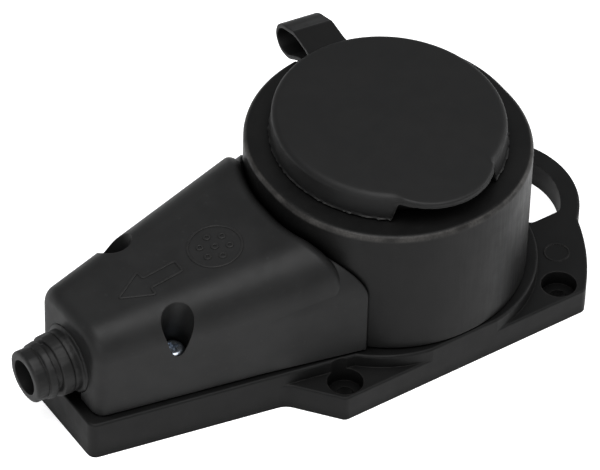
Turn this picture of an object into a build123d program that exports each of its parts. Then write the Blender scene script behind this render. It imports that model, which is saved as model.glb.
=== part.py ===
from build123d import *
import os
from math import cos, sin, radians, sqrt

# Seven-pole trailer wiring connector: a flat mounting base with four counterbored holes and a
# hanging eye, a round socket housing under a strap-held rubber cap, and a tapered cable cover
# with a stepped rubber grommet. Millimetres. The origin is the socket's axis at the underside
# of the base. The cable leaves along -X, the eye is at +X, and the socket opens upwards.

# ---- driving dimensions -------------------------------------------------------------------
# base
END_X, END_HALF = -119.5, 18.3         # narrow end of the base and its half width
NECK_X, NECK_HALF = -56.7, 30.8        # where the taper meets the front and back ears
EAR_X, EAR_HALF = -44.3, 45.9          # outer corners of the two ears beside the cover
FAR_X = 46.0                           # outer corners at the eye end
EAR_H, RIM_H, FLOOR = 9.5, 14.2, 3.0   # ear thickness, rim height, floor thickness
RIM_S, RIM_R = 46.3, 39.8              # raised rim round the housing: half size, corner radius
RIM_EDGE, EAR_EDGE = 0.8, 0.7          # rounding of the top edges of the rim and the ears
HOLE_X, HOLE_Y = 40.4, 39.3            # mounting holes, half spacings
HOLE_R, CBORE_R, CBORE_Z = 2.75, 5.7, 4.2
EYE_X, EYE_Y, EYE_OUT, EYE_IN = 43.3, 4.3, 29.5, 23.3
EYE_LOW, EYE_HIGH = -12.0, 20.8        # ends of the eye's opening
# housing
SEAL_T = 0.8                           # gasket between the base and what stands on it
FOOT_Z = RIM_H + SEAL_T
DRUM_X, DRUM_Y, DRUM_R = 43.8, 45.6, 43.0  # half sizes and corner radius of the wall's plan
DRUM_TOP, DRUM_EDGE = 62.0, 1.8        # the housing's flat top, and the radius of its outer edge
WALL = 3.0
SPIGOT_R, SPIGOT_TOP, MOUTH_R = 33.0, 69.3, 29.0
SLEEVE_Z = 40.0                        # lower end of the socket's inner sleeve
BOSS_XY, BOSS_R = 27.0, 5.2            # screw bosses in the housing's corners
# cable cover
COVER_X, COVER_LONG = -116.2, 88.0      # outer end face, and length before the housing cuts it
COVER_SET_END, COVER_SET_WIDE = 2.4, 1.5  # set-back from the base's outline at the two ends
COVER_END_TOP, COVER_RISE = 46.2, 0.125
COVER_R_END, COVER_R_WIDE = 9.5, 15.0
END_EDGE, SEAM_EDGE = 4.5, 3.8         # rounding of the end face and along the housing
SHOULDER_X, SHOULDER_DROP = -62.0, 4.6  # the lower shoulder that closes on the housing's wall
SHOULDER_FLARE, SEAM_LINE = 1.1, 0.6
SKIN = 2.6
DRUM_GAP = 0.3
POCKET_X, POCKET_Z, POCKET_HIGH = -89.5, 29.0, 52.0
POCKET_R_LOW, POCKET_R_TOP = 4.1, 5.7
POCKET_FRONT, POCKET_BACK = 21.5, 17.0  # how far out each pocket's axis leans at its top
COVER_SCREW_Y, PILLAR_R, PILLAR_TOP = 17.0, 4.0, 20.0
# grommet
CABLE_Z, CABLE_R, TIP_X = 26.7, 5.75, -132.0
CLAMP_X, CLAMP_Y = -102.5, 11.6        # cable clamp's screws, inside the cover
ENTRY_R = 11.4                         # hole in the cover's end wall
# cap and strap
CAP_RX, CAP_RY, CAP_TOP, CAP_LOW, CAP_IN, CAP_ROOF = 36.0, 37.9, 72.2, 62.5, 33.6, 69.7
TAB_R, TAB_Y, TAB_T = 21.2, -22.0, 3.8  # thumb tab opposite the strap: an arc's radius and centre
STRAP_YAW = -8.0                       # the strap leaves the cap slightly turned
STRAP_W, STRAP_T, STRAP_OFF = 13.5, 1.5, -3.6
# contacts
PIN_R, PIN_TOP, PIN_CIRCLE, FACE_Z = 2.5, 63.5, 15.0, 45.0

TAPER = (NECK_HALF - END_HALF) / (NECK_X - END_X)


# ---- helpers ------------------------------------------------------------------------------
def cyl(r, z0, z1, x=0.0, y=0.0):
    """Upright cylinder from z0 to z1."""
    return Pos(x, y, z0) * extrude(Circle(r), z1 - z0)


def box(x0, x1, y0, y1, z0, z1):
    """Box between two corners."""
    return Pos((x0 + x1) / 2, (y0 + y1) / 2, (z0 + z1) / 2) * Box(x1 - x0, y1 - y0, z1 - z0)


def half_width(x, inset=0.0):
    """Half width of the tapered part of the outline at x."""
    return END_HALF + (x - END_X) * TAPER - inset


def taper_sketch(inset, x_end, x_far=-20.0, corner=2.0):
    """Tapered outline that the cover stands on, set in from the base's edge."""
    a, b = half_width(x_end, inset), half_width(x_far, inset)
    face = make_face(Polyline((x_end, -a), (x_far, -b), (x_far, b), (x_end, a), close=True))
    return fillet(face.vertices().group_by(Axis.X)[0], corner)


def rounded_square(half, corner):
    return RectangleRounded(2 * half, 2 * half, corner)


def drum_plan(inset=0.0):
    """Plan of the housing's wall, nearly round, set in from its outside."""
    return RectangleRounded(2 * (DRUM_X - inset), 2 * (DRUM_Y - inset), DRUM_R - inset)


def yawed(shape):
    """Turned about the socket's axis to where the strap leaves."""
    return Rot(0, 0, STRAP_YAW) * shape


def corners(x, y):
    return [(sx * x, sy * y) for sx in (-1, 1) for sy in (-1, 1)]


def thirds():
    """Three places round the sleeve's wall, for the contact carrier's screws."""
    return [(31.0 * cos(radians(90 + 120 * i)), 31.0 * sin(radians(90 + 120 * i))) for i in range(3)]


def boss_room():
    """Room for the housing's screw bosses beside the carrier's flange."""
    return Part() + [cyl(BOSS_R + 0.3, 20.0, 50.0, x, y) for x, y in corners(BOSS_XY, BOSS_XY)]


def save(name, shape):
    """One solid, or several alike, to one file."""
    solids = shape.solids()
    export_step(solids[0] if len(solids) == 1 else Compound(children=list(solids)), f"parts/{name}.step")


# ---- base ---------------------------------------------------------------------------------
def ear_outline():
    """Plan of the thin plate: taper, four ears, and the bulge that carries the eye."""
    kink_x = EYE_X + sqrt(EYE_OUT**2 - 22.0**2)
    low, high = EYE_Y - 22.0, EYE_Y + 22.0
    edge = [
        Line((END_X, -END_HALF), (NECK_X, -NECK_HALF)),
        Line((NECK_X, -NECK_HALF), (EAR_X, -EAR_HALF)),
        Line((EAR_X, -EAR_HALF), (FAR_X, -EAR_HALF)),
        ThreePointArc((FAR_X, -EAR_HALF), (56.4, -31.9), (kink_x, low)),
        ThreePointArc((kink_x, low), (EYE_X + EYE_OUT, EYE_Y), (kink_x, high)),
        ThreePointArc((kink_x, high), (56.0, 36.5), (FAR_X, EAR_HALF)),
        Line((FAR_X, EAR_HALF), (EAR_X, EAR_HALF)),
        Line((EAR_X, EAR_HALF), (NECK_X, NECK_HALF)),
        Line((NECK_X, NECK_HALF), (END_X, END_HALF)),
        Line((END_X, END_HALF), (END_X, -END_HALF)),
    ]
    face = make_face(Curve() + edge)
    by_x = face.vertices().sort_by(Axis.X)
    ends, necks, ears = by_x[0:2], by_x[2:4], by_x[4:6]
    face = fillet(ends, 3.0)
    face = fillet(face.vertices().sort_by_distance((NECK_X, -NECK_HALF))[0:1], 7.0)
    face = fillet(face.vertices().sort_by_distance((NECK_X, NECK_HALF))[0:1], 7.0)
    for point in ((EAR_X, -EAR_HALF), (EAR_X, EAR_HALF), (FAR_X, -EAR_HALF), (FAR_X, EAR_HALF)):
        face = fillet(face.vertices().sort_by_distance(point)[0:1], 2.5)
    return face


def rim_outline(inset=0.0):
    """Plan of the raised rim: the taper and the ring round the housing."""
    wide = 2 * (EAR_HALF - inset)
    ring = rounded_square(RIM_S - inset, RIM_R - inset) & Rectangle(200, wide)
    return ring + taper_sketch(inset, END_X + inset, corner=max(3.0 - inset, 0.8))


def eye_opening():
    """Crescent between the eye's round bar and the rim, with rounded ends."""
    hole = Pos(EYE_X, EYE_Y) * Circle(EYE_IN) - rounded_square(RIM_S + 1.6, RIM_R + 1.6)
    hole = hole & Pos(60, (EYE_LOW + EYE_HIGH) / 2) * Rectangle(40, EYE_HIGH - EYE_LOW)
    cut = Pos(0, 0, -1) * extrude(hole, EAR_H + 2)
    return fillet(cut.edges().filter_by(Axis.Z), 2.6)


def base_plate():
    rim = extrude(rim_outline(), RIM_H)
    plate = extrude(ear_outline(), EAR_H)
    plate = fillet(plate.edges().group_by(Axis.Z)[-1], EAR_EDGE)
    plate += fillet(rim.edges().group_by(Axis.Z)[-1], RIM_EDGE)
    # the tray inside: wiring space under the housing and the cover
    tray = drum_plan(3.4) + taper_sketch(5.8, END_X + 6.6)
    plate -= Pos(0, 0, FLOOR) * extrude(tray, RIM_H)
    plate -= eye_opening()
    for x, y in corners(HOLE_X, HOLE_Y):
        plate -= cyl(HOLE_R, -1, RIM_H + 1, x, y) + cyl(CBORE_R, CBORE_Z, RIM_H + 1, x, y)
    # pillars under the housing, screwed from below
    for x, y in corners(BOSS_XY, BOSS_XY):
        plate += cyl(BOSS_R, FLOOR - 0.5, RIM_H, x, y)
        plate -= cyl(2.3, -1, RIM_H + 1, x, y) + cyl(4.3, -1, 3.4, x, y)
    # pillars for the cover's screws, and the cable clamp's cradle
    for side in (-1, 1):
        plate += cyl(PILLAR_R, FLOOR - 0.5, PILLAR_TOP, POCKET_X, side * COVER_SCREW_Y)
        plate -= cyl(2.9, 8.0, 21.0, POCKET_X, side * COVER_SCREW_Y)
        plate += cyl(3.4, FLOOR - 0.5, CABLE_Z, CLAMP_X, side * CLAMP_Y)
        plate -= cyl(1.6, 12.0, CABLE_Z + 1, CLAMP_X, side * CLAMP_Y)
    cradle = box(CLAMP_X - 2.5, CLAMP_X + 2.5, -9.5, 9.5, FLOOR - 0.5, CABLE_Z - 0.4)
    plate += cradle - Pos(CLAMP_X, 0, CABLE_Z) * Rot(0, 90, 0) * Cylinder(CABLE_R, 12)
    # small round mould mark on the ear beside the eye
    plate += cyl(4.1, EAR_H - 0.5, EAR_H + 0.2, 48.0, -27.2) - cyl(3.7, EAR_H, EAR_H + 1, 48.0, -27.2)
    return plate


def cover_seal():
    """Flat rubber gasket on the rim, following the foot of the housing and of the cover."""
    outer = drum_plan(0.9) + taper_sketch(2.9, END_X + 4.2)
    inner = drum_plan(3.0) + taper_sketch(5.0, END_X + 6.2)
    seal = Pos(0, 0, RIM_H) * extrude(outer - inner, SEAL_T)
    for side in (-1, 1):
        seal -= cyl(PILLAR_R + 0.2, RIM_H - 1, FOOT_Z + 1, POCKET_X, side * COVER_SCREW_Y)
    return seal


# ---- housing ------------------------------------------------------------------------------
def socket_housing():
    body = Pos(0, 0, FOOT_Z) * extrude(drum_plan(), DRUM_TOP - FOOT_Z)
    body = fillet(body.edges().group_by(Axis.Z)[-1], DRUM_EDGE)
    # the edge is worn down where the strap passes over it
    way_out = make_face(Plane.YZ * Polyline((41, DRUM_TOP), (44, 60.7), (47, 58.9), (47, 70), (41, 70),
                                            close=True))
    body -= yawed(Pos(STRAP_OFF, 0, 0) * extrude(way_out, STRAP_W / 2 + 1.2, both=True))
    hollow = Pos(0, 0, FOOT_Z - 1) * extrude(drum_plan(WALL), DRUM_TOP - 4.0 - FOOT_Z + 1)
    body -= fillet(hollow.edges().group_by(Axis.Z)[-1], 3.0)
    spigot = cyl(SPIGOT_R, SLEEVE_Z, SPIGOT_TOP)
    body += fillet(spigot.edges().group_by(Axis.Z)[-1], 0.8)
    for x, y in corners(BOSS_XY, BOSS_XY):
        boss = cyl(BOSS_R, FOOT_Z, DRUM_TOP - 3, x, y)
        body += boss - cyl(1.7, FOOT_Z - 1, FOOT_Z + 22, x, y)
    # socket mouth, with one keyway, and the groove that holds the strap's ring
    body -= cyl(MOUTH_R, SLEEVE_Z - 1, SPIGOT_TOP + 1)
    body -= box(-2.2, 2.2, -MOUTH_R - 1.6, -MOUTH_R + 2, FACE_Z, SPIGOT_TOP + 1)
    body -= cyl(SPIGOT_R + 2, DRUM_TOP, DRUM_TOP + 2.3) - cyl(SPIGOT_R - 1.6, DRUM_TOP, DRUM_TOP + 2.3)
    # opening for the wires into the cable cover
    wires = Pos(-DRUM_X, 0, 29.0) * Rot(0, 90, 0) * extrude(RectangleRounded(22, 34, 4), 14, both=True)
    body -= wires & box(-60, -34, -20, 20, 16, 44)
    # blind holes under the sleeve for the contact carrier's screws
    for x, y in thirds():
        body -= cyl(1.25, SLEEVE_Z - 1, SLEEVE_Z + 8, x, y)
    return body


# ---- cable cover --------------------------------------------------------------------------
def cover_section(x, inset, drop=0.0):
    """D-shaped cross-section of the cover at x, its top lowered by drop."""
    share = (x - COVER_X) / COVER_LONG
    w = half_width(x, COVER_SET_END + (COVER_SET_WIDE - COVER_SET_END) * share + inset)
    top = COVER_END_TOP + COVER_RISE * (x - COVER_X) - inset - drop
    r = COVER_R_END + (COVER_R_WIDE - COVER_R_END) * share - inset * 0.6
    edge = [
        Line((-w, FOOT_Z), (-w, top - r)),
        ThreePointArc((-w, top - r), (-w + r * (1 - sqrt(0.5)), top - r * (1 - sqrt(0.5))), (-w + r, top)),
        Line((-w + r, top), (w - r, top)),
        ThreePointArc((w - r, top), (w - r * (1 - sqrt(0.5)), top - r * (1 - sqrt(0.5))), (w, top - r)),
        Line((w, top - r), (w, FOOT_Z)),
        Line((w, FOOT_Z), (-w, FOOT_Z)),
    ]
    return Plane(origin=(x, 0, 0), x_dir=(0, 1, 0), z_dir=(1, 0, 0)) * make_face(Curve() + edge)


def housing_room(gap):
    """Room for the housing's wall, with a gap all round."""
    return Pos(0, 0, FOOT_Z - 6) * extrude(drum_plan(-gap), 66)


def on_housing_wall(edge):
    """Whether an edge lies on the cover's face against the housing."""
    for share in (0.1, 0.5, 0.9):
        p = edge @ share
        dx, dy = max(abs(p.X) - DRUM_X + DRUM_R, 0), max(abs(p.Y) - DRUM_Y + DRUM_R, 0)
        if abs(sqrt(dx**2 + dy**2) - DRUM_R - DRUM_GAP) > 0.02:
            return False
    return (edge @ 0.5).Z > FOOT_Z + 0.5


def screw_pocket(side):
    """Recess for one cover screw: round, wider at the top, and leaning outwards."""
    lean = POCKET_FRONT if side < 0 else POCKET_BACK
    low = Pos(POCKET_X, side * COVER_SCREW_Y, POCKET_Z) * Circle(POCKET_R_LOW)
    high = Pos(POCKET_X, side * lean, POCKET_HIGH) * Circle(POCKET_R_TOP)
    return loft([low, high], ruled=True)


def against_housing(near, far, seam_radius):
    """Body between two sections, cut by the housing's wall, with a rounded edge along it."""
    body = loft([near, far], ruled=True) - housing_room(DRUM_GAP)
    body = body.solids().sort_by(Axis.X)[0]
    return fillet(body.edges().filter_by(on_housing_wall), seam_radius)


def cable_cover():
    far = COVER_X + COVER_LONG
    outer = against_housing(cover_section(COVER_X, 0.0), cover_section(far, 0.0), SEAM_EDGE)
    # a lower, flared shoulder keeps a crisp edge where the sides run out along the housing
    flared = cover_section(far, -SHOULDER_FLARE, SHOULDER_DROP + SHOULDER_FLARE)
    outer += against_housing(cover_section(SHOULDER_X, 0.0, SHOULDER_DROP), flared, SEAM_LINE)
    end = outer.edges().filter_by(lambda e: abs((e @ 0.5).X - COVER_X) < 0.01 and (e @ 0.5).Z > FOOT_Z + 2)
    outer = fillet(end, END_EDGE)
    inner = loft([cover_section(COVER_X + SKIN, SKIN), cover_section(far, SKIN)], ruled=True)
    cover = outer - (inner - housing_room(SEAM_EDGE + 1.6))
    # the end wall against the housing has the same opening for the wires as the housing
    cover -= box(-60, -34, -17, 17, FOOT_Z - 1, 40.0)
    # recessed screw pockets, their bosses reaching down to the base's pillars
    for side in (-1, 1):
        boss = cyl(7.2, PILLAR_TOP + 0.3, 46.0, POCKET_X, side * (COVER_SCREW_Y + 1.5))
        cover += boss & outer
        cover -= screw_pocket(side)
        cover -= cyl(2.3, 19.0, POCKET_Z + 1, POCKET_X, side * COVER_SCREW_Y)
        cover -= cyl(PILLAR_R + 0.3, FOOT_Z - 1, PILLAR_TOP + 0.3, POCKET_X, side * COVER_SCREW_Y)
    # cable entry: a round hole open downwards, so the cover drops over the grommet
    cover -= Pos(COVER_X, 0, CABLE_Z) * Rot(0, 90, 0) * Cylinder(ENTRY_R, 12)
    cover -= box(COVER_X - 6, COVER_X + 6, -7.0, 7.0, FOOT_Z - 1, CABLE_Z)
    return cover


# ---- grommet and cable clamp --------------------------------------------------------------
def turned(points):
    """Solid turned about the cable's axis from (x, radius) points."""
    profile = make_face(Plane.XZ * Polyline(*points, close=True))
    return Pos(0, 0, CABLE_Z) * revolve(profile, Axis.X, 360)


def cable_grommet():
    wall_0, wall_1 = COVER_X - 0.3, COVER_X + SKIN + 0.3
    return turned([
        (TIP_X, CABLE_R), (TIP_X, 7.5), (TIP_X + 0.8, 8.3), (TIP_X + 4.4, 8.6), (TIP_X + 4.4, 9.1),
        (TIP_X + 6.9, 9.3), (TIP_X + 6.9, 8.3), (TIP_X + 8.4, 8.3), (TIP_X + 8.4, 9.9),
        (TIP_X + 12.4, 10.2), (TIP_X + 12.4, 10.0), (wall_1, 10.0), (wall_1, 11.9),
        (wall_1 + 3.5, 11.9), (wall_1 + 6.0, 8.0), (wall_1 + 6.0, CABLE_R),
    ])


def clamp_bar():
    """Saddle that holds the cable down on its cradle."""
    axis = Pos(CLAMP_X, 0, CABLE_Z) * Rot(0, 90, 0)
    bar = box(CLAMP_X - 3, CLAMP_X + 3, -14.6, 14.6, CABLE_Z + 0.1, CABLE_Z + 3.2)
    bar += (axis * Cylinder(8.4, 6)) & box(CLAMP_X - 4, CLAMP_X + 4, -9, 9, CABLE_Z + 0.1, CABLE_Z + 10)
    bar -= axis * Cylinder(CABLE_R, 8)
    for side in (-1, 1):
        bar -= cyl(1.9, CABLE_Z - 1, CABLE_Z + 5, CLAMP_X, side * CLAMP_Y)
    return bar


# ---- cap and strap ------------------------------------------------------------------------
def dust_cap():
    """Soft rubber cap: a domed disc, a skirt over the spigot, a thumb tab and a strap root."""
    cap = Pos(0, 0, CAP_LOW) * extrude(Ellipse(CAP_RX, CAP_RY), CAP_TOP - 0.4 - CAP_LOW)
    cap = fillet(cap.edges().group_by(Axis.Z)[-1], 2.2)
    tab_top = CAP_TOP - 1.0
    tab = cyl(TAB_R, tab_top - TAB_T, tab_top, 0, TAB_Y)
    cap += fillet(tab.edges().group_by(Axis.Z)[-1], 1.2)
    cap -= cyl(CAP_IN, CAP_LOW - 1, CAP_ROOF)
    # the skirt is cut away under the tab, and notched where the strap passes
    under_tab = box(-18.6, 18.6, -60, -26, CAP_LOW - 1, tab_top - TAB_T)
    notch = box(STRAP_OFF - 7.8, STRAP_OFF + 7.8, 25, 60, CAP_LOW - 1, DRUM_TOP + 3.2)
    return cap - under_tab - yawed(notch)


def strap_ring():
    """Elastic ring of the strap, snapped into the spigot's groove."""
    ring = cyl(SPIGOT_R + 0.3, DRUM_TOP + 0.05, DRUM_TOP + 2.2) - cyl(SPIGOT_R - 1.55, DRUM_TOP, DRUM_TOP + 3)
    return yawed(ring)


def strap_loop():
    """Band from the ring, out over the housing's edge, round and back to the cap's rim."""
    path = Spline(
        (34.6, 62.95), (41.0, 62.9), (46.8, 60.3), (52.5, 58.4), (57.6, 58.3), (60.2, 60.9),
        (59.3, 64.0), (56.2, 66.7), (51.5, 68.8), (45.5, 69.6), (38.4, 69.6))
    band = Plane.YZ * trace(path, STRAP_T)
    return yawed(Pos(STRAP_OFF, 0, 0) * extrude(band, STRAP_W / 2, both=True))


# ---- contacts -----------------------------------------------------------------------------
def pin_places():
    ring = [(PIN_CIRCLE * cos(radians(30 + 60 * i)), PIN_CIRCLE * sin(radians(30 + 60 * i))) for i in range(6)]
    return ring + [(0.0, 0.0)]


def contact_pin(x, y):
    """Brass pin with a domed tip, a collar in the carrier and a screw terminal below it."""
    pin = cyl(PIN_R, FACE_Z - 6, PIN_TOP, x, y)
    pin = fillet(pin.edges().group_by(Axis.Z)[-1], 1.6)
    barrel = cyl(3.6, 22.0, FACE_Z - 6, x, y)
    pin += barrel - cyl(2.0, 21.0, 31.0, x, y)
    screw_hole = Pos(x, y, 26.0) * Rot(0, 90, 0) * Cylinder(1.5, 10, align=(Align.CENTER,) * 2 + (Align.MIN,))
    return pin - screw_hole


def terminal_screw(x, y):
    """Set screw that grips a wire in one terminal."""
    screw = Pos(x + 2.1, y, 26.0) * Rot(0, 90, 0) * extrude(Circle(1.45), 3.4)
    return screw - box(x + 4.9, x + 6, y - 2, y + 2, 25.7, 26.3)


def contact_carrier():
    """Moulded insulator that holds the seven pins in the sleeve."""
    carrier = cyl(MOUTH_R - 0.3, 33.0, FACE_Z) + cyl(33.5, 35.0, SLEEVE_Z - 0.9)
    for x, y in pin_places():
        carrier -= cyl(PIN_R + 0.05, 30.0, FACE_Z + 1, x, y) + cyl(3.65, 30.0, FACE_Z - 5.9, x, y)
    for x, y in thirds():
        carrier -= cyl(1.5, 30.0, SLEEVE_Z, x, y) + cyl(3.0, 30.0, 36.6, x, y)
    return carrier - boss_room()


def carrier_seal():
    """Flat rubber ring between the carrier's flange and the sleeve."""
    ring = cyl(33.3, SLEEVE_Z - 0.9, SLEEVE_Z) - cyl(MOUTH_R + 0.1, SLEEVE_Z - 2, SLEEVE_Z + 1)
    for x, y in thirds():
        ring -= cyl(1.5, SLEEVE_Z - 2, SLEEVE_Z + 1, x, y)
    return ring - boss_room()


# ---- fasteners ----------------------------------------------------------------------------
def pan_screw(x, y, z_seat, length, shank_r, head_r, head_h, up=True):
    """Pan-head screw with a cross recess; the head is above the seat, or below it."""
    s = 1 if up else -1
    head = cyl(head_r, 0, head_h)
    head = fillet(head.edges().group_by(Axis.Z)[-1], head_h * 0.45)
    head -= box(-head_r * 0.55, head_r * 0.55, -0.5, 0.5, head_h * 0.4, head_h + 1)
    head -= box(-0.5, 0.5, -head_r * 0.55, head_r * 0.55, head_h * 0.4, head_h + 1)
    screw = head + cyl(shank_r, -length, 0.1)
    return Pos(x, y, z_seat) * (screw if s > 0 else Rot(180, 0, 0) * screw)


def insert(x, y):
    """Brass thread insert in a base pillar."""
    return cyl(2.85, 10.0, PILLAR_TOP, x, y) - cyl(2.0, 9.0, 21.0, x, y)


# ---- write every piece --------------------------------------------------------------------
os.makedirs("parts", exist_ok=True)
sides = (-1, 1)

save("base_plate", base_plate())
save("cover_seal", cover_seal())
save("socket_housing", socket_housing())
save("cable_cover", cable_cover())
save("cable_grommet", cable_grommet())
save("cable_clamp_bar", clamp_bar())
save("dust_cap", dust_cap())
save("strap_ring", strap_ring())
save("strap_loop", strap_loop())
save("contact_carrier", contact_carrier())
save("carrier_seal", carrier_seal())
for number, (px, py) in enumerate(pin_places(), start=1):
    save(f"contact_pin_{number}", contact_pin(px, py))
save("terminal_screws", Compound(children=[terminal_screw(x, y) for x, y in pin_places()]))
save("carrier_screws", Compound(children=[
    pan_screw(x, y, 36.6, 9.6, 1.2, 2.7, 1.8, up=False) for x, y in thirds()]))
save("cover_screws", Compound(children=[
    pan_screw(POCKET_X, s * COVER_SCREW_Y, POCKET_Z, 17.0, 1.95, 3.7, 2.8) for s in sides]))
save("cover_inserts", Compound(children=[insert(POCKET_X, s * COVER_SCREW_Y) for s in sides]))
save("housing_screws", Compound(children=[
    pan_screw(x, y, 3.4, 30.0, 1.65, 4.0, 2.8, up=False) for x, y in corners(BOSS_XY, BOSS_XY)]))
save("clamp_screws", Compound(children=[
    pan_screw(CLAMP_X, s * CLAMP_Y, CABLE_Z + 3.2, 14.0, 1.5, 2.9, 2.0) for s in sides]))
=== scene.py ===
from math import cos, hypot, pi, radians, sin, sqrt

import bpy
from mathutils import Matrix, Vector, noise


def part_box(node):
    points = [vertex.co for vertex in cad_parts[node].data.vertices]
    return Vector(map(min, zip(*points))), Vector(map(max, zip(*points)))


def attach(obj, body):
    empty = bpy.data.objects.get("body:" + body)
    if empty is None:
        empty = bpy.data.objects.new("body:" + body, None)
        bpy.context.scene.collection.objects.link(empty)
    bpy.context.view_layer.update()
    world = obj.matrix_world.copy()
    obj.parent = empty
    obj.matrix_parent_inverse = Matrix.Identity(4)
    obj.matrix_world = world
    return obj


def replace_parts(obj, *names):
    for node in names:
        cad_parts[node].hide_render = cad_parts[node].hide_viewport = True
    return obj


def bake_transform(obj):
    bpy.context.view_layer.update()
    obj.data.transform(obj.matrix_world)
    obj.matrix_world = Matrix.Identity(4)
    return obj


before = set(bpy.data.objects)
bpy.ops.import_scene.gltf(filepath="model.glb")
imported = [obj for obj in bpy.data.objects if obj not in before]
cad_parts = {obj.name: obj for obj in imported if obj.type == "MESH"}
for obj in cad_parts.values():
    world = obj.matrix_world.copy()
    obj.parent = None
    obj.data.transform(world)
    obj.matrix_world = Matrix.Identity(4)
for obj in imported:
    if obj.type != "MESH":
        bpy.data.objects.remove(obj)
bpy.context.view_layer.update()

# The looks of a seven-pole trailer wiring connector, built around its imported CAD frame.
# Lengths below are in millimetres; MM turns them into metres.
MM = 0.001

# ---- driving values -----------------------------------------------------------------------
# dust cap: radius of its rounded edge, inside of its skirt, height of the roof under the disc
CAP_EDGE, CAP_IN, CAP_ROOF = 2.6, 33.6, 69.7
CROWN_DROP, CAP_TURNS = 0.06, 720       # the crown's distance below the CAD's top, and sections
FLASH_OUT, SKIRT_DROP = 0.45, 0.20      # how far the moulding flash stands out and hangs down
# thumb tab: an arc's radius and centre, then its drop below the disc, thickness and edge
TAB_R, TAB_X, TAB_Y = 20.5, -0.8, -22.2
TAB_DROP, TAB_T, TAB_EDGE = 0.5, 2.3, 1.0
STEP_SOFT, STEP_CRISP = (1.3, 1.5), (0.1, 0.5)  # start and run of the step beside the tab
# under the cap, as radius and height from the roof: a plug ring for the mouth, and a centre ring
PLUG_RING = [(28.2, 0.0), (27.9, -0.3), (27.7, -2.2), (27.2, -2.5), (25.6, -2.5), (25.1, -2.2),
             (24.9, -0.3), (24.6, 0.0)]
CENTRE_RING = [(12.0, 0.2), (11.6, -0.3), (10.9, -0.3), (10.5, 0.2), (0.0, 0.2)]
# strap: its turn about +Z, sideways offset, width and thickness
STRAP_YAW, STRAP_OFF, STRAP_W, STRAP_T = -8.0, -3.6, 13.5, 1.5
STRAP_NOTCH, STRAP_CREASE = 8.6, 47.5   # half width of the cap's notch, and where the band creases
SPIGOT_R, DRUM_TOP = 33.0, 62.0         # the socket's neck, and the housing's flat top
# cable: height of its axis, radius of the grommet's bore, and where a web bridges the groove
CABLE_Z, BORE_R, WEB_AT = 26.7, 5.75, 130.0
# cover: its end, its height there, and how fast its top climbs
COVER_END_X, COVER_END_TOP, COVER_RISE = -116.2, 46.2, 0.125
MARK_Y, MARK_RING_X, ARROW_BACK, ARROW_NECK, ARROW_TIP = -4.5, -66.5, -79.5, -91.0, -101.0
RELIEF_H, RELIEF_W = 0.32, 0.85         # height and width of the raised lines on the cover
PAINTED_SHADE_REACH_MM = 9.0                         # how near a wall has to be for a hollow to get painted shade
FLOOR_GLOW, FLOOR_SEEN = 0.12, 0.70     # the sheet's own light on the part, and as seen


def node_box(name):
    """A CAD node's lowest and highest corner, in millimetres."""
    low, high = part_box(name)
    return Vector(low) / MM, Vector(high) / MM


# ---- mesh helpers -------------------------------------------------------------------------
def mesh_piece(name, points, faces, body, material, sharp=38.0):
    """A mesh from millimetre points, which rides on a body if one is given."""
    mesh = bpy.data.meshes.new(name)
    mesh.from_pydata([[c * MM for c in p] for p in points], [], faces)
    mesh.update()
    mesh.shade_smooth()
    mesh.set_sharp_from_angle(angle=radians(sharp))
    mesh.materials.append(material)
    piece = bpy.data.objects.new(name, mesh)
    bpy.context.scene.collection.objects.link(piece)
    if body:
        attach(piece, body)
    return piece


def strip_faces(rows, size, start=0, close_rows=False):
    """Quads between rows of the same number of points, each row being a closed loop."""
    faces = []
    for r in range(rows if close_rows else rows - 1):
        below, above = start + r * size, start + ((r + 1) % rows) * size
        for i in range(size):
            j = (i + 1) % size
            faces.append((below + i, below + j, above + j, above + i))
    return faces


def rounded(points, radius, steps=5, closed=False):
    """An outline with its corners rounded off by up to radius."""
    count = len(points)
    corners = range(count) if closed else range(1, count - 1)
    out = [] if closed else [Vector(points[0])]
    for i in corners:
        a, b, c = (Vector(points[k % count]) for k in (i - 1, i, i + 1))
        back = min(radius, (a - b).length * 0.49)
        ahead = min(radius, (c - b).length * 0.49)
        p, q = b + (a - b).normalized() * back, b + (c - b).normalized() * ahead
        for k in range(steps + 1):
            t = k / steps
            out.append(p * (1 - t) ** 2 + b * 2 * t * (1 - t) + q * t * t)
    if not closed:
        out.append(Vector(points[-1]))
    return out


def smoother(t):
    """A smooth step from 0 to 1, flat at both ends."""
    t = min(max(t, 0.0), 1.0)
    return t * t * (3 - 2 * t)


def uneven(x, y, z, size, depth):
    """A small repeatable unevenness, from -depth to depth."""
    return depth * noise.noise(Vector((x, y, z)) / size)


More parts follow.
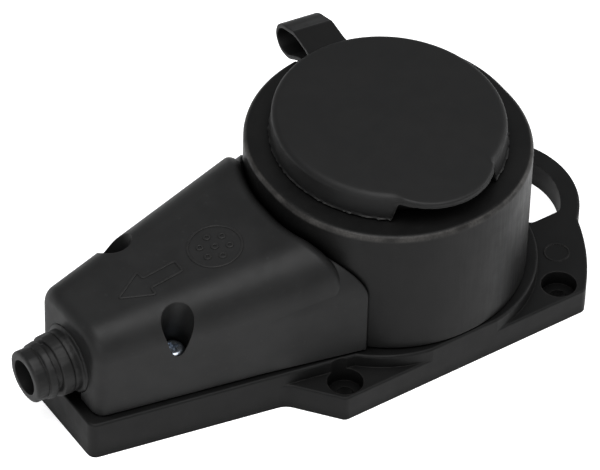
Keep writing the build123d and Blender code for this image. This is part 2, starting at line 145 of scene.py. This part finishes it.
# ---- materials ----------------------------------------------------------------------------
class Graph:
    """A node material under construction: adds nodes, and wires a socket or sets a value."""

    def __init__(self, name):
        self.material = bpy.data.materials.new(name)
        self.material.use_nodes = True
        self.nodes = self.material.node_tree.nodes
        self.nodes.clear()
        self.out = self.nodes.new("ShaderNodeOutputMaterial")
        self.shader = self.add("ShaderNodeBsdfPrincipled")
        self.wire(self.shader.outputs["BSDF"], self.out.inputs["Surface"])
        self.place = self.add("ShaderNodeTexCoord").outputs["Object"]

    def add(self, kind, inputs=None, **settings):
        node = self.nodes.new(kind)
        for key, value in settings.items():
            setattr(node, key, value)
        for key, value in (inputs or {}).items():
            self.put(node.inputs[key], value)
        return node

    def wire(self, source, target):
        self.material.node_tree.links.new(source, target)

    def put(self, socket, value):
        if isinstance(value, bpy.types.NodeSocket):
            self.wire(value, socket)
        else:
            socket.default_value = value

    def noise(self, size_mm, detail=3.0, stretch=(1, 1, 1)):
        """Noise whose features are about size_mm, stretched along the axes."""
        scale = [1 / (MM * size_mm * s) for s in stretch]
        spot = self.add("ShaderNodeMapping", {"Vector": self.place, "Scale": scale})
        kind = {"Vector": spot.outputs[0], "Scale": 1.0, "Detail": detail, "Roughness": 0.55}
        return self.add("ShaderNodeTexNoise", kind).outputs["Fac"]

    def remap(self, value, low, high, to_low=0.0, to_high=1.0, smooth=True):
        kind = "SMOOTHSTEP" if smooth else "LINEAR"
        node = self.add("ShaderNodeMapRange", interpolation_type=kind)
        for socket, number in zip(node.inputs, (value, low, high, to_low, to_high)):
            self.put(socket, number)
        return node.outputs[0]

    def math(self, kind, a, b):
        node = self.add("ShaderNodeMath", operation=kind)
        self.put(node.inputs[0], a)
        self.put(node.inputs[1], b)
        return node.outputs[0]

    def mix(self, share, a, b):
        node = self.add("ShaderNodeMix", data_type="RGBA")
        self.put(node.inputs[0], share)
        self.put(node.inputs[6], a)
        self.put(node.inputs[7], b)
        return node.outputs[2]

    def bump(self, height, depth_mm, below=None):
        inputs = {"Height": height, "Distance": depth_mm * MM, "Strength": 1.0}
        if below is not None:
            inputs["Normal"] = below
        return self.add("ShaderNodeBump", inputs).outputs[0]

    def edge_mask(self, radius_mm):
        """1 on sharp edges and 0 on flats, from how far a rounded normal leaves the true one."""
        soft = self.add("ShaderNodeBevel", {"Radius": radius_mm * MM}, samples=4).outputs[0]
        true = self.add("ShaderNodeNewGeometry").outputs["Normal"]
        dot = self.add("ShaderNodeVectorMath", {0: soft, 1: true}, operation="DOT_PRODUCT")
        return self.remap(dot.outputs["Value"], 1.0, 0.86), soft

    def unshaded_share(self, reach_mm):
        """1 out in the open and 0 deep in a hollow, used to paint shade into hollows."""
        node = self.add("ShaderNodeAmbientOcclusion", {"Distance": reach_mm * MM}, samples=6)
        return self.remap(node.outputs["AO"], 0.20, 0.75)


def grey(value, warm=0.0):
    return (value * (1 + warm), value, value * (1 - warm), 1.0)


def moulded(name, tone, gloss, grain_mm=0.32, grain_depth=0.012, edge=0.035, edge_mm=0.5,
            streak=None, warm=0.0, scuff=0.3, shine=0.30, mottle=0.12):
    """Moulded plastic or rubber: mottled colour, fine grain, uneven gloss, rubbed edges and painted
    shade in hollows.
    """
    g = Graph(name)
    cloud = g.remap(g.noise(14.0, 4.0), 0.35, 0.65)
    specks = g.remap(g.noise(1.6, 5.0), 0.60, 0.78)
    colour = g.mix(cloud, grey(tone * (1 - mottle)), grey(tone * (1 + mottle), warm))
    colour = g.mix(g.math("MULTIPLY", specks, scuff), colour, grey(tone * 2.6, warm))
    mask, soft = g.edge_mask(edge_mm)
    rubbed = g.math("MULTIPLY", mask, g.remap(g.noise(2.2, 4.0), 0.30, 0.62, 0.25, 1.0))
    colour = g.mix(rubbed, colour, grey(edge, 0.04))
    # Painted shade: hollows and crevices get a darker colour, by how near the surrounding walls are.
    clear = g.unshaded_share(PAINTED_SHADE_REACH_MM)
    colour = g.mix(clear, grey(tone * 0.25), colour)
    rough = g.remap(g.noise(5.0, 4.0), 0.3, 0.7, gloss - 0.03, gloss + 0.04)
    height = g.bump(g.noise(9.0, 2.0), 0.012, soft)
    if streak:
        lines = g.noise(0.9, 3.0, stretch=streak)
        rough = g.math("ADD", rough, g.remap(lines, 0.3, 0.7, -0.04, 0.04))
        height = g.bump(lines, 0.010, height)
    height = g.bump(g.noise(grain_mm, 2.0), grain_depth, height)
    g.put(g.shader.inputs["Base Color"], colour)
    g.put(g.shader.inputs["Roughness"], rough)
    g.put(g.shader.inputs["Normal"], height)
    # Painted shade on reflection too: the specular level drops in hollows.
    g.put(g.shader.inputs["Specular IOR Level"], g.remap(clear, 0.0, 1.0, shine * 0.25, shine))
    return g


def worn_and_highlit_housing(name):
    """The drum: vertical streaks down its wall, and a pale band round its rounded edge that is partly
    rubbed wear and partly a painted highlight.
    """
    g = moulded(name, 0.0062, 0.40, grain_mm=0.35, streak=(1, 1, 16), warm=0.02, shine=0.17)
    colour = g.shader.inputs["Base Color"].links[0].from_socket
    height = g.add("ShaderNodeSeparateXYZ", {0: g.place}).outputs["Z"]
    # Painted highlight mixed with wear: a pale band at a fixed height on the top edge's rounding,
    # where the lamps' highlight falls.
    band_up = g.remap(height, (DRUM_TOP - 2.4) * MM, (DRUM_TOP - 1.0) * MM)
    band_down = g.remap(height, (DRUM_TOP - 0.05) * MM, (DRUM_TOP - 0.35) * MM)
    band = g.math("MULTIPLY", band_up, band_down)
    patches = g.remap(g.noise(5.5, 4.0), 0.34, 0.66, 0.35, 1.0)
    threads = g.remap(g.noise(0.5, 3.0, stretch=(1, 1, 3)), 0.30, 0.70, 0.55, 1.0)
    rubbed = g.math("MULTIPLY", g.math("MULTIPLY", band, patches), threads)
    # The pale colour here is partly rubbed wear and partly a painted highlight.
    g.put(g.shader.inputs["Base Color"], g.mix(rubbed, colour, grey(0.055, 0.05)))
    return g


def metal(name, colour, gloss):
    """Plated or turned metal with fine scratches and dull patches."""
    g = Graph(name)
    patch = g.remap(g.noise(1.6, 5.0), 0.45, 0.75, 0.0, 0.45)
    lines = g.noise(0.25, 3.0, stretch=(1, 1, 0.3))
    g.put(g.shader.inputs["Base Color"], g.mix(patch, colour, (0.05, 0.04, 0.03, 1.0)))
    g.put(g.shader.inputs["Roughness"], g.remap(lines, 0.3, 0.7, gloss - 0.08, gloss + 0.12))
    g.put(g.shader.inputs["Metallic"], 1.0)
    g.put(g.shader.inputs["Normal"], g.bump(lines, 0.01))
    return g


def make_materials():
    """One finish for each of the record's material slots."""
    recipes = {
        "base_plastic": moulded("base_plastic", 0.0070, 0.48, shine=0.16),
        "cover_plastic": moulded("cover_plastic", 0.0150, 0.45, grain_mm=0.28, grain_depth=0.010,
                                 shine=0.19),
        "housing_plastic": worn_and_highlit_housing("housing_plastic"),
        "cap_rubber": moulded("cap_rubber", 0.0068, 0.52, grain_mm=0.40, grain_depth=0.006,
                              edge=0.050, edge_mm=0.30, warm=0.02, scuff=0.10, shine=0.30,
                              mottle=0.05),
        "strap_rubber": moulded("strap_rubber", 0.0066, 0.52, grain_mm=0.40, grain_depth=0.006,
                                edge=0.008, edge_mm=0.25, warm=0.02, scuff=0.10, shine=0.18,
                                mottle=0.05),
        "grommet_rubber": moulded("grommet_rubber", 0.0085, 0.50, grain_mm=0.7, grain_depth=0.03,
                                  edge=0.022, scuff=0.6, warm=0.02),
        "seal_rubber": moulded("seal_rubber", 0.0040, 0.70, edge=0.008),
        "carrier_plastic": moulded("carrier_plastic", 0.010, 0.45),
        "contact_brass": metal("contact_brass", (0.62, 0.42, 0.16, 1.0), 0.28),
        "clamp_steel": metal("clamp_steel", (0.48, 0.49, 0.50, 1.0), 0.36),
        "screw_steel": metal("screw_steel", (0.50, 0.55, 0.62, 1.0), 0.30),
    }
    return {name: graph.material for name, graph in recipes.items()}


def dress_cad_nodes(finish):
    """Gives each carried-over CAD node the finish of its own material slot."""
    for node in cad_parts.values():
        for place in node.material_slots:
            slot = place.material.name.split(".")[0]
            if slot not in finish:
                raise ValueError(f"no finish for slot {slot} on {node.name}")
            place.material = finish[slot]


# ---- dust cap -----------------------------------------------------------------------------
def cap_radius(angle, half_x, half_y):
    """Outer radius of the oval cap, widened towards -Y into the round thumb tab."""
    c, s = cos(angle), sin(angle)
    oval = half_x * half_y / hypot(half_y * c, half_x * s)
    along = TAB_X * c + TAB_Y * s
    reach = along + sqrt(max(along**2 - TAB_X**2 - TAB_Y**2 + TAB_R**2, 0.0))
    soft = 1.8 if c < 0 else 0.35             # gentle at the tab's left end, crisp at its right
    blend = max(soft - abs(oval - reach), 0.0) / soft
    return max(oval, reach) + blend**2 * soft / 4, oval, reach


def cap_side(angle, low, high):
    """The cap's section at one angle, as (radius, height), from the crown round to the roof."""
    outer, oval, reach = cap_radius(angle, (high.x - low.x) / 2, high.y)
    early, run = STEP_SOFT if cos(angle) < 0 else STEP_CRISP
    tab = smoother((reach - oval + early) / run)
    step = 4 * tab * (1 - tab)                # a bead follows the S-shaped step
    across = outer * sin(angle - radians(90 + STRAP_YAW)) + STRAP_OFF
    notch = smoother(STRAP_NOTCH - abs(across)) if sin(angle) > 0 else 0.0
    flash = abs(noise.noise(Vector((angle * 9, 3.1, 0)))) * 0.7
    flash += abs(noise.noise(Vector((angle * 37, 7.7, 0)))) * 0.6 + 0.10 + 0.35 * step
    bottom = low.z - SKIRT_DROP + 0.5 * noise.noise(Vector((angle * 2.3, 1.0, 5.0))) ** 2
    bottom += (high.z - TAB_DROP - TAB_T - bottom) * tab
    bottom = max(bottom, low.z + notch * 3.0)
    crown = high.z - CROWN_DROP
    crest = high.z - 0.35 - TAB_DROP * smoother((outer - oval) / 4.0)
    edge = CAP_EDGE + (TAB_EDGE - CAP_EDGE) * smoother((outer - oval) / 1.2)
    wall = outer + FLASH_OUT * (1 - tab)
    side = []
    for k in range(13):                       # disc, very slightly domed
        f = k / 12
        side.append((f * (outer - edge - 0.8), crown - (crown - crest) * f**3))
    for k in range(1, 10):                    # soft ridge
        t = pi / 2 * k / 9
        side.append((outer - edge + edge * sin(t), crest - edge * (1 - cos(t)) * 0.8))
    fall_from = crest - edge * 0.8
    for k in range(1, 8):                     # skirt
        f = k / 8
        bulge = uneven(cos(angle) * 40, sin(angle) * 40, f * 9, 11, 0.10)
        side.append((outer + (wall - outer) * f + bulge, fall_from + (bottom + 0.5 - fall_from) * f))
    flare = wall + flash * (1 - 0.6 * tab) * 0.9
    side += [(wall, bottom + 0.45), (flare, bottom + 0.24), (flare, bottom + 0.10),
             (wall - 0.7, bottom), (CAP_IN + 0.5, bottom + 0.05), (CAP_IN, bottom + 0.5),
             (CAP_IN, (bottom + CAP_ROOF) / 2), (CAP_IN, CAP_ROOF - 0.5), (CAP_IN - 0.5, CAP_ROOF)]
    return side + [(r, CAP_ROOF + rise) for r, rise in PLUG_RING + CENTRE_RING]


def dust_cap(finish):
    """One closed shell: domed disc, soft ridge, skirt with moulding flash, tab, plug ring."""
    low, high = node_box("dust_cap")
    sides = []
    for i in range(CAP_TURNS):
        angle = 2 * pi * i / CAP_TURNS
        sides.append([(r * cos(angle), r * sin(angle), z) for r, z in cap_side(angle, low, high)])
    rows = list(zip(*sides))
    inner = rows[1:-1]
    points = [p for row in inner for p in row] + [rows[0][0], rows[-1][0]]
    faces = [tuple(reversed(f)) for f in strip_faces(len(inner), CAP_TURNS)]
    last, ends = (len(inner) - 1) * CAP_TURNS, len(points) - 2
    for i in range(CAP_TURNS):
        j = (i + 1) % CAP_TURNS
        faces.append((ends, i, j))
        faces.append((ends + 1, last + j, last + i))
    cap = mesh_piece("rubber_cap", points, faces, "cap", finish["cap_rubber"], 50)
    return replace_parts(cap, "dust_cap")


# ---- strap --------------------------------------------------------------------------------
def strap_path():
    """The band's middle line as (y, z), from the ring out over the edge and back to the cap."""
    corners = [(34.4, 62.95), (41.0, 62.9), (46.7, 59.8), (51.6, 56.6), (57.0, 55.9), (60.0, 58.8),
               (59.2, 62.8), (56.2, 65.5), (52.2, 67.3), (48.9, 68.75), (47.9, 69.2), (46.4, 69.4),
               (41.0, 69.55), (34.8, 69.6)]
    middle = [Vector(corners[0])]
    ends = [Vector(c) for c in corners]
    padded = [ends[0] * 2 - ends[1]] + ends + [ends[-1] * 2 - ends[-2]]
    for a, b, c, d in zip(padded, padded[1:], padded[2:], padded[3:]):
        for k in range(1, 15):
            t = k / 14
            middle.append(0.5 * ((2 * b) + (c - a) * t + (2 * a - 5 * b + 4 * c - d) * t**2
                                 + (3 * b - a - 3 * c + d) * t**3))
    return middle


def placed_with_strap(x, y, z):
    """A point in the strap's own plane, turned to where the strap leaves the cap."""
    c, s = cos(radians(STRAP_YAW)), sin(radians(STRAP_YAW))
    return (x * c - y * s, x * s + y * c, z)


def strap_band(finish):
    """The band: a soft-edged strip with a crease where it starts to bend, rooted at both ends."""
    path = strap_path()
    lengths = [0.0]
    for a, b in zip(path, path[1:]):
        lengths.append(lengths[-1] + (b - a).length)
    section = rounded([(-STRAP_W / 2, -STRAP_T / 2), (STRAP_W / 2, -STRAP_T / 2),
                       (STRAP_W / 2, STRAP_T / 2), (-STRAP_W / 2, STRAP_T / 2)], 0.5, 4, closed=True)
    points, share = [], []
    for i, middle in enumerate(path):
        ahead = (path[min(i + 1, len(path) - 1)] - path[max(i - 1, 0)]).normalized()
        out = Vector((ahead.y, -ahead.x))
        f = lengths[i] / lengths[-1]
        root = smoother(1 - min(f, 1 - f) / 0.09)     # the band thickens towards both ends
        crease = smoother(1 - abs(middle.x - STRAP_CREASE) / 0.8) if middle.y > 66 else 0.0
        for p in section:
            wide = p.x * (1 + 0.05 * root) + STRAP_OFF
            thick = p.y * (1 + 0.35 * root) + (crease * 0.34 if p.y > 0 else 0)
            point = middle - out * thick
            points.append(placed_with_strap(wide, point.x, point.y))
            share.append(f)
    size = len(section)
    faces = strip_faces(len(path), size)
    faces.append(tuple(reversed(range(size))))
    faces.append(tuple(range((len(path) - 1) * size, len(path) * size)))
    band = mesh_piece("cap_strap", points, faces, None, finish["strap_rubber"], 60)
    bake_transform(band)
    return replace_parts(band, "strap_loop")


def strap_collar(finish):
    """The ring that sits in the spigot's groove, round in section."""
    low, high = node_box("strap_ring")
    outer, inner = (high.x - low.x) / 2, SPIGOT_R - 1.5
    section = rounded([(inner, low.z), (outer, low.z), (outer, high.z), (inner, high.z)],
                      0.6, 4, closed=True)
    points = []
    turns = 180
    for i in range(turns):
        angle = 2 * pi * i / turns
        for p in section:
            points.append((p.x * cos(angle), p.x * sin(angle), p.y))
    faces = strip_faces(turns, len(section), close_rows=True)
    ring = mesh_piece("strap_collar", points, faces, "root", finish["cap_rubber"], 60)
    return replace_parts(ring, "strap_ring")


# ---- cable grommet ------------------------------------------------------------------------
def cable_gland(finish):
    """Stepped rubber grommet, turned about the cable's axis, with soft uneven collars."""
    low, high = node_box("cable_grommet")
    tip, bore, body = low.x, BORE_R, (high.y - low.y) / 2
    # (x, radius) from the tip, over the collars and the groove, to the end inside the cover
    steps = [(tip + 0.05, bore), (tip, 7.5), (tip + 0.5, 8.45), (tip + 3.9, 8.55), (tip + 4.3, 8.1),
             (tip + 4.7, 9.0), (tip + 6.9, 9.3), (tip + 7.1, 7.4), (tip + 8.4, 7.4),
             (tip + 8.6, 9.9), (tip + 12.2, 10.1), (tip + 12.5, 9.7), (tip + 13.3, 10.0),
             (COVER_END_X - 0.7, 10.0), (COVER_END_X - 0.3, 11.3), (COVER_END_X + 3.2, 11.3),
             (COVER_END_X + 3.2, body), (high.x - 2.4, body), (high.x, 8.0), (high.x, bore)]
    profile = rounded(steps, 0.5, 5)
    profile += [Vector((x, bore)) for x in (high.x - 6, (low.x + high.x) / 2, tip + 2.5)]
    profile.append(Vector((tip + 0.8, bore + 0.05)))
    turns = 240
    points = []
    for i in range(turns):
        angle = 2 * pi * i / turns
        web = smoother(1.35 - abs((angle - radians(WEB_AT) + pi) % (2 * pi) - pi) / radians(60))
        for p in profile:
            lump = uneven(p.x * 1.2, cos(angle) * 18, sin(angle) * 18, 5.5, 0.22)
            lump += uneven(p.x * 3, cos(angle) * 40, sin(angle) * 40, 4.0, 0.07)
            r = p.y + (lump if p.y > bore + 0.6 and p.y < body - 0.2 else 0)
            if tip + 6.95 < p.x < tip + 8.55 and r < 9.2 and p.y > bore + 0.6:  # in the groove
                r += (9.0 - r) * web
            points.append((p.x, r * cos(angle), CABLE_Z + r * sin(angle)))
    faces = [tuple(reversed(f)) for f in strip_faces(turns, len(profile), close_rows=True)]
    gland = mesh_piece("grommet_body", points, faces, "root",
                       finish["grommet_rubber"], 50)
    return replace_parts(gland, "cable_grommet")


# ---- relief on the cover ------------------------------------------------------------------
def cover_top(x):
    """Height of the cover's flat top at x."""
    return COVER_END_TOP + COVER_RISE * (x - COVER_END_X)


def relief(name, outlines, finish):
    """Raised ridges that follow closed outlines on the cover's flat top."""
    profile = [(-0.5, -0.5), (-0.46, 0.55), (-0.26, 1.0), (0.26, 1.0), (0.46, 0.55), (0.5, -0.5)]
    points, faces = [], []
    for outline in outlines:
        count, start = len(outline), len(points)
        for i in range(count):
            a, b, c = outline[i - 1], outline[i], outline[(i + 1) % count]
            tangent = (c - a).normalized()
            side = Vector((tangent.y, -tangent.x))
            for across, up in profile:
                spot = b + side * across * RELIEF_W
                points.append((spot.x, spot.y, cover_top(spot.x) + up * RELIEF_H))
        faces += strip_faces(count, len(profile), start, close_rows=True)
    return mesh_piece(name, points, faces, "root", finish["cover_plastic"], 30)


def circle(x, y, r, count=72):
    """A closed outline of count points."""
    return [Vector((x + r * cos(2 * pi * i / count), y + r * sin(2 * pi * i / count)))
            for i in range(count)]


def pin_layout_mark(finish):
    """Generic marks: the seven pins seen from the plug's side, and an arrow to the cable's end."""
    rings = [circle(MARK_RING_X, MARK_Y, 8.4), circle(MARK_RING_X, MARK_Y, 0.9, 24)]
    for i in range(6):
        angle = 2 * pi * (i + 0.5) / 6
        rings.insert(-1, circle(MARK_RING_X + 4.6 * cos(angle), MARK_Y + 4.6 * sin(angle), 0.9, 24))
    relief("pin_layout_relief", rings, finish)
    shaft, wing = 2.4, 5.6
    arrow = [(ARROW_BACK, MARK_Y - shaft), (ARROW_NECK, MARK_Y - shaft), (ARROW_NECK, MARK_Y - wing),
             (ARROW_TIP, MARK_Y), (ARROW_NECK, MARK_Y + wing), (ARROW_NECK, MARK_Y + shaft),
             (ARROW_BACK, MARK_Y + shaft)]
    relief("cable_arrow_relief", [rounded(arrow, 1.0, 4, closed=True)], finish)


# ---- studio -------------------------------------------------------------------------------
def floor():
    """Pale seamless sheet that the part stands on."""
    half = 3000
    g = Graph("pale_floor")
    tone = g.mix(g.remap(g.noise(60.0), 0.3, 0.7), grey(0.93), grey(0.96))
    g.put(g.shader.inputs["Base Color"], tone)
    g.put(g.shader.inputs["Roughness"], 0.8)
    g.put(g.shader.inputs["Emission Color"], grey(1.0))
    seen = g.add("ShaderNodeLightPath").outputs["Is Camera Ray"]
    g.put(g.shader.inputs["Emission Strength"], g.remap(seen, 0, 1, FLOOR_GLOW, FLOOR_SEEN, False))
    mesh = bpy.data.meshes.new("floor")
    corners = [(sx * half * MM, sy * half * MM, 0) for sx, sy in ((-1, -1), (1, -1), (1, 1), (-1, 1))]
    mesh.from_pydata(corners, [], [(0, 1, 2, 3)])
    mesh.materials.append(g.material)
    sheet = bpy.data.objects.new("floor", mesh)
    bpy.context.scene.collection.objects.link(sheet)


def softbox(name, place, size, power, aim=(-20, 0, 30)):
    """A rectangular area lamp that looks at the part; place, size and aim in millimetres."""
    lamp = bpy.data.lights.new(name, "AREA")
    lamp.shape, lamp.size, lamp.size_y = "RECTANGLE", size[0] * MM, size[1] * MM
    lamp.energy = power
    holder = bpy.data.objects.new(name, lamp)
    bpy.context.scene.collection.objects.link(holder)
    holder.location = Vector(place) * MM
    toward = (Vector(aim) - Vector(place)).normalized()
    holder.rotation_mode = "QUATERNION"
    holder.rotation_quaternion = toward.to_track_quat("-Z", "Y")


def studio():
    """A dim, even room with three lamps, shown without a film-like tone curve."""
    world = bpy.data.worlds.new("studio")
    world.use_nodes = True
    world.node_tree.nodes["Background"].inputs["Color"].default_value = (0.96, 0.98, 1.0, 1.0)
    world.node_tree.nodes["Background"].inputs["Strength"].default_value = 0.30
    bpy.context.scene.world = world
    softbox("overhead", (-150, -250, 1100), (900, 900), 10.0)
    softbox("front_left", (-900, -700, 500), (700, 600), 2.3)
    softbox("right_side", (900, -300, 450), (500, 500), 3.0)
    bpy.context.scene.view_settings.view_transform = "Standard"


def camera():
    """A long lens, from the front left and above, slightly rolled."""
    azimuth, elevation, roll = radians(-34.135), radians(44.063), radians(1.541)
    distance, target = 1616.13, Vector((-11.301, 30.716, 0.0))
    back = Vector((sin(azimuth) * cos(elevation), -cos(azimuth) * cos(elevation), sin(elevation)))
    level = Vector((cos(azimuth), sin(azimuth), 0.0))
    upright = back.cross(level) * -1 if back.cross(level).z < 0 else back.cross(level)
    right = level * cos(roll) + upright * sin(roll)
    up = upright * cos(roll) - level * sin(roll)
    lens = bpy.data.cameras.new("camera")
    lens.sensor_width, lens.lens = 36.0, 301.99
    lens.clip_start, lens.clip_end = 0.05, 20.0
    holder = bpy.data.objects.new("camera", lens)
    bpy.context.scene.collection.objects.link(holder)
    holder.matrix_world = (Matrix.Translation((target + back * distance) * MM)
                           @ Matrix((right, up, back)).transposed().to_4x4())
    bpy.context.scene.camera = holder


# ---- make everything ----------------------------------------------------------------------
camera()
studio()
floor()
finish = make_materials()
dress_cad_nodes(finish)
dust_cap(finish)
strap_collar(finish)
strap_band(finish)
cable_gland(finish)
pin_layout_mark(finish)
